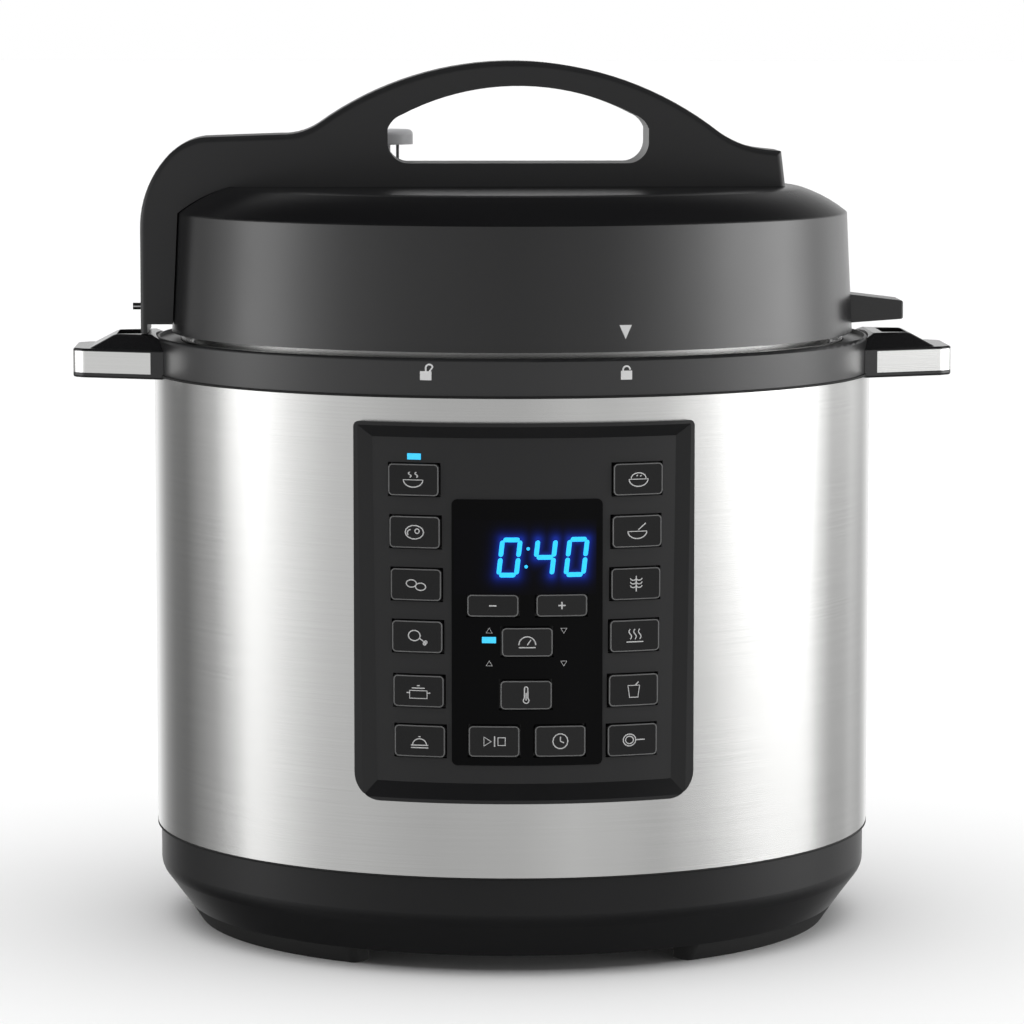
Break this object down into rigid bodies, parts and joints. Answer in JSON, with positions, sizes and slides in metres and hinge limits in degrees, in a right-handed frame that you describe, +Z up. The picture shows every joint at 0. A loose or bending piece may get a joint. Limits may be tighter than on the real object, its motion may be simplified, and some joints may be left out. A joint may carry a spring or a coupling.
{
  "type": "electric pressure cooker",
  "caption": "Electric pressure cooker with brushed steel body, button control panel, side handles, and a black bayonet lid with an arched handle.",
  "frame": {"origin": "on the cooker's vertical axis, in the plane that the feet stand on", "axes": "+Z up, -Y towards the control panel, +X to the right of someone facing the panel"},
  "size_m": [0.334, 0.2962, 0.3275],
  "materials": {
    "housing_plastic": "satin moulded black plastic",
    "foot_plastic": "soft black foot",
    "shell_steel": "horizontally brushed stainless steel",
    "collar_plastic": "satin dark grey plastic",
    "ring_steel": "pressed stainless steel",
    "liner_aluminium": "spun aluminium",
    "plate_aluminium": "cast and turned aluminium",
    "element_steel": "dark oxidised tube",
    "part_plastic": "moulded",
    "part_ceramic": "white sleeve",
    "board": "glass-fibre board with parts",
    "bezel_plastic": "satin black",
    "fascia_plastic": "fine satin black",
    "window_gloss": "glossy black",
    "light_glow": "lit blue",
    "handle_plastic": "polished black",
    "trim_steel": "brushed steel strip",
    "screw_steel": "bright zinc",
    "inlet_plastic": "black moulded",
    "sensor_aluminium": "satin",
    "pot_steel": "satin stainless steel",
    "seal_silicone": "translucent silicone",
    "lid_plastic": "glossy top and satin band",
    "lid_steel": "pressed stainless steel",
    "rack_steel": "bright steel",
    "lid_handle_plastic": "satin black",
    "pin_steel": "turned steel",
    "valve_plastic": "satin black",
    "float_steel": "bright steel",
    "cup_plastic": "clear plastic",
    "button_plastic": "semi-gloss black with printed mark"
  },
  "bodies": {
    "base": {"base_housing": "housing_plastic", "feet": "foot_plastic", "bottom_cover": "housing_plastic", "bottom_screws": "screw_steel", "outer_shell": "shell_steel", "collar_ring": "collar_plastic", "bayonet_ring": "ring_steel", "liner": "liner_aluminium", "heating_plate": "plate_aluminium", "heating_element": "element_steel", "pressure_switch": "part_plastic", "thermal_fuse": "part_ceramic", "power_board": "board", "control_board": "board", "tactile_switches": "part_plastic", "display_module": "part_plastic", "panel_bezel": "bezel_plastic", "panel_fascia": "fascia_plastic", "display_window": "window_gloss", "indicator_lights": "light_glow", "left_handle": "handle_plastic", "right_handle": "handle_plastic", "left_handle_band": "trim_steel", "right_handle_band": "trim_steel", "handle_screws": "screw_steel", "power_inlet": "inlet_plastic", "sensor_spring": "screw_steel"},
    "sensor": {"sensor_cap": "sensor_aluminium"},
    "pot": {"inner_pot": "pot_steel"},
    "seal": {"sealing_ring": "seal_silicone"},
    "lid": {"lid_cover": "lid_plastic", "pressure_lid": "lid_steel", "ring_rack": "rack_steel", "lid_handle": "lid_handle_plastic", "arm_screw": "pin_steel", "lid_screws": "screw_steel", "valve_pipe": "rack_steel", "valve_shield": "rack_steel"},
    "valve": {"steam_valve": "valve_plastic"},
    "float": {"float_valve": "float_steel", "float_gasket": "seal_silicone"},
    "cup": {"condensation_cup": "cup_plastic"},
    "button_soup": {"button_soup": "button_plastic"},
    "button_rice": {"button_rice": "button_plastic"},
    "button_meat": {"button_meat": "button_plastic"},
    "button_porridge": {"button_porridge": "button_plastic"},
    "button_bean": {"button_bean": "button_plastic"},
    "button_multigrain": {"button_multigrain": "button_plastic"},
    "button_poultry": {"button_poultry": "button_plastic"},
    "button_steam": {"button_steam": "button_plastic"},
    "button_slow_cook": {"button_slow_cook": "button_plastic"},
    "button_yogurt": {"button_yogurt": "button_plastic"},
    "button_warm": {"button_warm": "button_plastic"},
    "button_saute": {"button_saute": "button_plastic"},
    "button_minus": {"button_minus": "button_plastic"},
    "button_plus": {"button_plus": "button_plastic"},
    "button_pressure": {"button_pressure": "button_plastic"},
    "button_temperature": {"button_temperature": "button_plastic"},
    "button_start_stop": {"button_start_stop": "button_plastic"},
    "button_delay": {"button_delay": "button_plastic"}
  },
  "joints": [
    {"name": "pot_lift", "type": "slide", "parent": "base", "child": "pot", "axis": [0, 0, 1], "range_m": [0, 0.228]},
    {"name": "lid_lift", "type": "slide", "parent": "pot", "child": "seal", "axis": [0, 0, 1], "range_m": [0, 0.12]},
    {"name": "lid_turn", "type": "hinge", "parent": "seal", "child": "lid", "pos_m": [0, 0, 0.22], "axis": [0, 0, 1], "range_deg": [-30, 0]},
    {"name": "valve_turn", "type": "hinge", "parent": "lid", "child": "valve", "pos_m": [-0.052, 0.048, 0.289], "axis": [0, 0, 1], "range_deg": [-40, 0]},
    {"name": "float_rise", "type": "slide", "parent": "lid", "child": "float", "axis": [0, 0, 1], "range_m": [0, 0.005]},
    {"name": "cup_slide", "type": "slide", "parent": "base", "child": "cup", "axis": [0, 0, -1], "range_m": [0, 0.03]},
    {"name": "sensor_press", "type": "slide", "parent": "base", "child": "sensor", "axis": [0, 0, 1], "range_m": [-0.001, 0], "stiffness_N_per_m": 400, "deforming": ["sensor_spring"]},
    {"name": "press_soup", "type": "slide", "parent": "base", "child": "button_soup", "axis": [0.289, 0.9573, 0], "range_m": [0, 0.0004], "stiffness_N_per_m": 1000},
    {"name": "press_rice", "type": "slide", "parent": "base", "child": "button_rice", "axis": [-0.2941, 0.9558, 0], "range_m": [0, 0.0004], "stiffness_N_per_m": 1000},
    {"name": "press_meat", "type": "slide", "parent": "base", "child": "button_meat", "axis": [0.2859, 0.9583, 0], "range_m": [0, 0.0004], "stiffness_N_per_m": 1000},
    {"name": "press_porridge", "type": "slide", "parent": "base", "child": "button_porridge", "axis": [-0.2913, 0.9566, 0], "range_m": [0, 0.0004], "stiffness_N_per_m": 1000},
    {"name": "press_bean", "type": "slide", "parent": "base", "child": "button_bean", "axis": [0.2828, 0.9592, 0], "range_m": [0, 0.0004], "stiffness_N_per_m": 1000},
    {"name": "press_multigrain", "type": "slide", "parent": "base", "child": "button_multigrain", "axis": [-0.2885, 0.9575, 0], "range_m": [0, 0.0004], "stiffness_N_per_m": 1000},
    {"name": "press_poultry", "type": "slide", "parent": "base", "child": "button_poultry", "axis": [0.2797, 0.9601, 0], "range_m": [0, 0.0004], "stiffness_N_per_m": 1000},
    {"name": "press_steam", "type": "slide", "parent": "base", "child": "button_steam", "axis": [-0.2857, 0.9583, 0], "range_m": [0, 0.0004], "stiffness_N_per_m": 1000},
    {"name": "press_slow_cook", "type": "slide", "parent": "base", "child": "button_slow_cook", "axis": [0.2765, 0.961, 0], "range_m": [0, 0.0004], "stiffness_N_per_m": 1000},
    {"name": "press_yogurt", "type": "slide", "parent": "base", "child": "button_yogurt", "axis": [-0.2828, 0.9592, 0], "range_m": [0, 0.0004], "stiffness_N_per_m": 1000},
    {"name": "press_warm", "type": "slide", "parent": "base", "child": "button_warm", "axis": [0.2736, 0.9618, 0], "range_m": [0, 0.0004], "stiffness_N_per_m": 1000},
    {"name": "press_saute", "type": "slide", "parent": "base", "child": "button_saute", "axis": [-0.2802, 0.9599, 0], "range_m": [0, 0.0004], "stiffness_N_per_m": 1000},
    {"name": "press_minus", "type": "slide", "parent": "base", "child": "button_minus", "axis": [0.0841, 0.9965, 0], "range_m": [0, 0.0004], "stiffness_N_per_m": 1000},
    {"name": "press_plus", "type": "slide", "parent": "base", "child": "button_plus", "axis": [-0.0936, 0.9956, 0], "range_m": [0, 0.0004], "stiffness_N_per_m": 1000},
    {"name": "press_pressure", "type": "slide", "parent": "base", "child": "button_pressure", "axis": [-0.0044, 1, 0], "range_m": [0, 0.0004], "stiffness_N_per_m": 1000},
    {"name": "press_temperature", "type": "slide", "parent": "base", "child": "button_temperature", "axis": [-0.0015, 1, 0], "range_m": [0, 0.0004], "stiffness_N_per_m": 1000},
    {"name": "press_start_stop", "type": "slide", "parent": "base", "child": "button_start_stop", "axis": [0.0812, 0.9967, 0], "range_m": [0, 0.0004], "stiffness_N_per_m": 1000},
    {"name": "press_delay", "type": "slide", "parent": "base", "child": "button_delay", "axis": [-0.09, 0.9959, 0], "range_m": [0, 0.0004], "stiffness_N_per_m": 1000}
  ]
}
